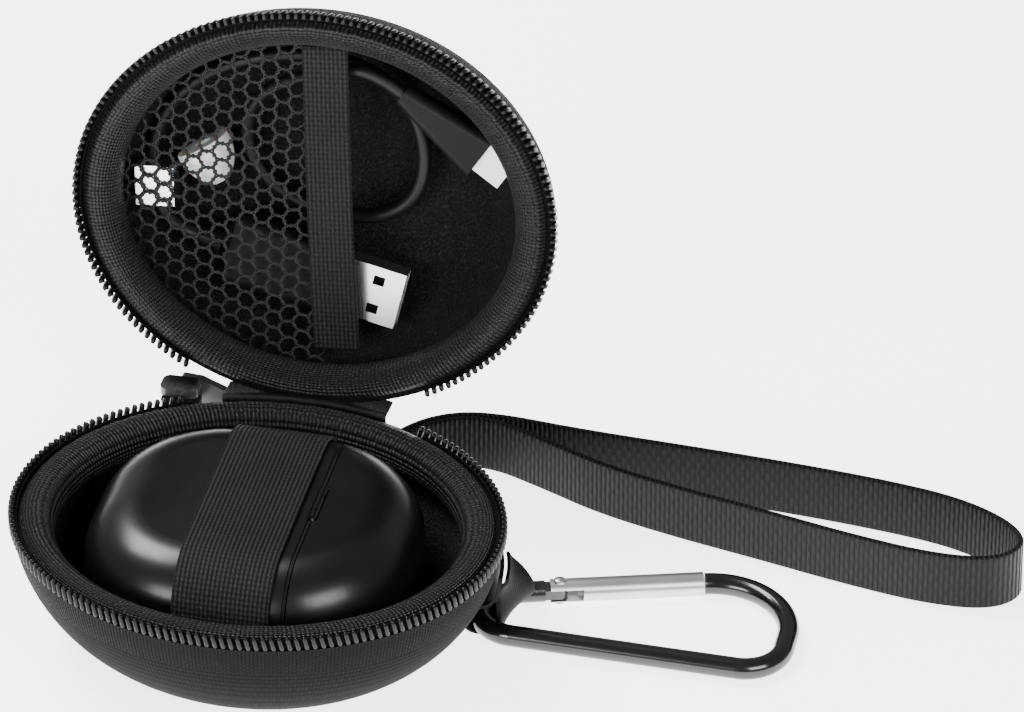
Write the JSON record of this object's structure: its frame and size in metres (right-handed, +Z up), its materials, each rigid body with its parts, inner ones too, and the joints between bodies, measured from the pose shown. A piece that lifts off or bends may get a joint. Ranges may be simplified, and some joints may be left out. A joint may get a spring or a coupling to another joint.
{
  "type": "wireless earbuds case",
  "caption": "Oval zip-up hard case standing open, holding an earbud charging case under an elastic strap, a lid pocket with cable and plugs, a wrist strap and a carabiner.",
  "frame": {"origin": "centre of the base's flat underside, where it rests", "axes": "+Z up out of the rest face, +X along the hinge towards the wrist strap's loop, +Y back towards the hinge"},
  "size_m": [0.1969, 0.1236, 0.1081],
  "materials": {
    "shell_fabric": "fine matt weave over moulded foam",
    "lining_fabric": "brushed tricot",
    "rim_weave": "woven nylon with a slight sheen",
    "zip_tape": "herringbone tape",
    "zip_coil": "nylon coil",
    "elastic": "ribbed elastic",
    "mesh": "open hexagonal mesh",
    "webbing": "ribbed nylon webbing",
    "black_gloss": "polished black",
    "black_matte": "fine matt",
    "steel": "bright",
    "black_metal": "satin black",
    "gate_metal": "polished",
    "grey_metal": "satin grey",
    "gold": "plated",
    "board_green": "lacquered board",
    "battery_wrap": "foil wrap",
    "white_silicone": "soft, slightly clear",
    "lens": "frosted light window",
    "cable_rubber": "matt"
  },
  "bodies": {
    "base": {"base_shell": "shell_fabric", "base_lining": "lining_fabric", "base_rim_binding": "rim_weave", "base_zip_tape": "zip_tape", "base_zip_teeth": "zip_coil", "base_hinge_fabric": "shell_fabric", "base_elastic_strap": "elastic", "slider_body": "black_metal", "zip_chain_end": "zip_coil", "carabiner_tab": "webbing", "strap_anchor": "webbing"},
    "lid": {"lid_shell": "shell_fabric", "lid_lining": "lining_fabric", "lid_rim_binding": "rim_weave", "lid_zip_tape": "zip_tape", "lid_zip_teeth": "zip_coil", "lid_hinge_fabric": "shell_fabric", "mesh_pocket": "mesh", "pocket_band": "elastic", "usb_plug_metal": "steel", "usb_plug_tongue": "black_matte", "usb_plug_grip": "black_matte", "cable_cord": "cable_rubber", "small_plug_grip": "black_matte", "small_plug_metal": "steel", "spare_ear_tip": "white_silicone", "adapter_sleeve": "steel", "adapter_insert": "black_matte"},
    "charging_case": {"charging_case_body": "black_gloss", "charging_case_seam_trim": "black_matte", "charging_lid_pin": "steel", "status_lens": "lens", "charging_socket": "steel", "earbud_tray": "black_matte", "earbud_left": "black_gloss", "earbud_right": "black_gloss", "earbud_left_tip": "white_silicone", "earbud_right_tip": "white_silicone", "charge_pins": "gold", "case_battery": "battery_wrap", "case_circuit_board": "board_green"},
    "charging_lid": {"charging_case_lid": "black_gloss", "case_magnets": "steel"},
    "zip_puller": {"slider_pull": "grey_metal"},
    "carabiner": {"carabiner_frame": "black_metal", "gate_pin": "steel"},
    "carabiner_gate": {"carabiner_gate": "gate_metal", "gate_spring": "steel"},
    "wrist_strap": {"wrist_strap": "webbing"}
  },
  "joints": [
    {"name": "lid_hinge", "type": "hinge", "parent": "base", "child": "lid", "pos_m": [0, 0.0395, 0.02875], "axis": [-1, 0, 0], "range_deg": [-103.5, 8]},
    {"name": "charging_case_lift", "type": "slide", "parent": "base", "child": "charging_case", "axis": [0, 0, 1], "range_m": [0, 0.012], "deforming": ["base_elastic_strap"]},
    {"name": "charging_lid_hinge", "type": "hinge", "parent": "charging_case", "child": "charging_lid", "pos_m": [0.0124, 0, 0.0315], "axis": [0, -1, 0], "range_deg": [0, 18]},
    {"name": "zip_puller_swing", "type": "hinge", "parent": "base", "child": "zip_puller", "pos_m": [-0.0244, 0.0444, 0.0248], "axis": [0, 1, 0], "range_deg": [0, 60]},
    {"name": "carabiner_swing", "type": "hinge", "parent": "base", "child": "carabiner", "pos_m": [0.0503, 0.0107, 0.00274], "axis": [0.0147, 0, 0.9999], "range_deg": [-12, 6]},
    {"name": "carabiner_gate", "type": "hinge", "parent": "carabiner", "child": "carabiner_gate", "pos_m": [0.05682, 0.02049, 0.00265], "axis": [0.0147, 0, 0.9999], "range_deg": [-20, 0], "stiffness_Nm_per_rad": 0.03, "springref_deg": 5.73},
    {"name": "wrist_strap_swing", "type": "hinge", "parent": "base", "child": "wrist_strap", "pos_m": [0.013, 0.044, 0.00625], "axis": [0, 0, 1], "range_deg": [-5, 30]}
  ]
}
